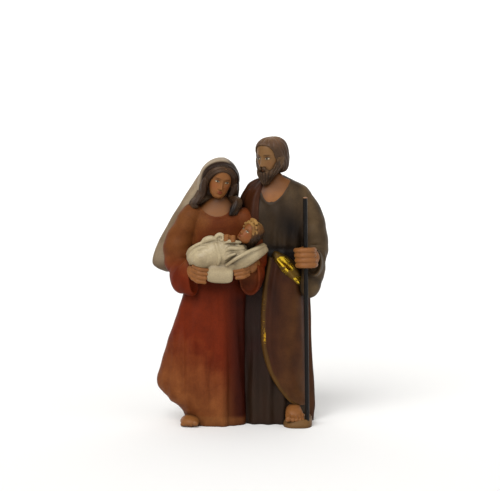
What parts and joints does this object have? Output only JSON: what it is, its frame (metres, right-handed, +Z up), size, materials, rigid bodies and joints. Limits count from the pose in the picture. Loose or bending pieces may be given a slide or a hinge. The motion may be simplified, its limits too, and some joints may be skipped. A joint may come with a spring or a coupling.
{
  "type": "holy family statue",
  "caption": "Painted resin figure group: a mother with a swaddled child in her arms beside a bearded father who holds a straight staff, standing on its own flat underside.",
  "frame": {"origin": "on the surface the group stands on, under the middle of its overall footprint", "axes": "+Z up, -Y towards the viewer, +X towards the man, on the viewer's right"},
  "size_m": [0.0922, 0.0448, 0.1499],
  "materials": {
    "painted_resin": "hand-painted matt resin with darker washes in the folds",
    "staff_wire": "satin black"
  },
  "bodies": {
    "root": {"figure_group": "painted_resin", "staff": "staff_wire"}
  },
  "joints": []
}
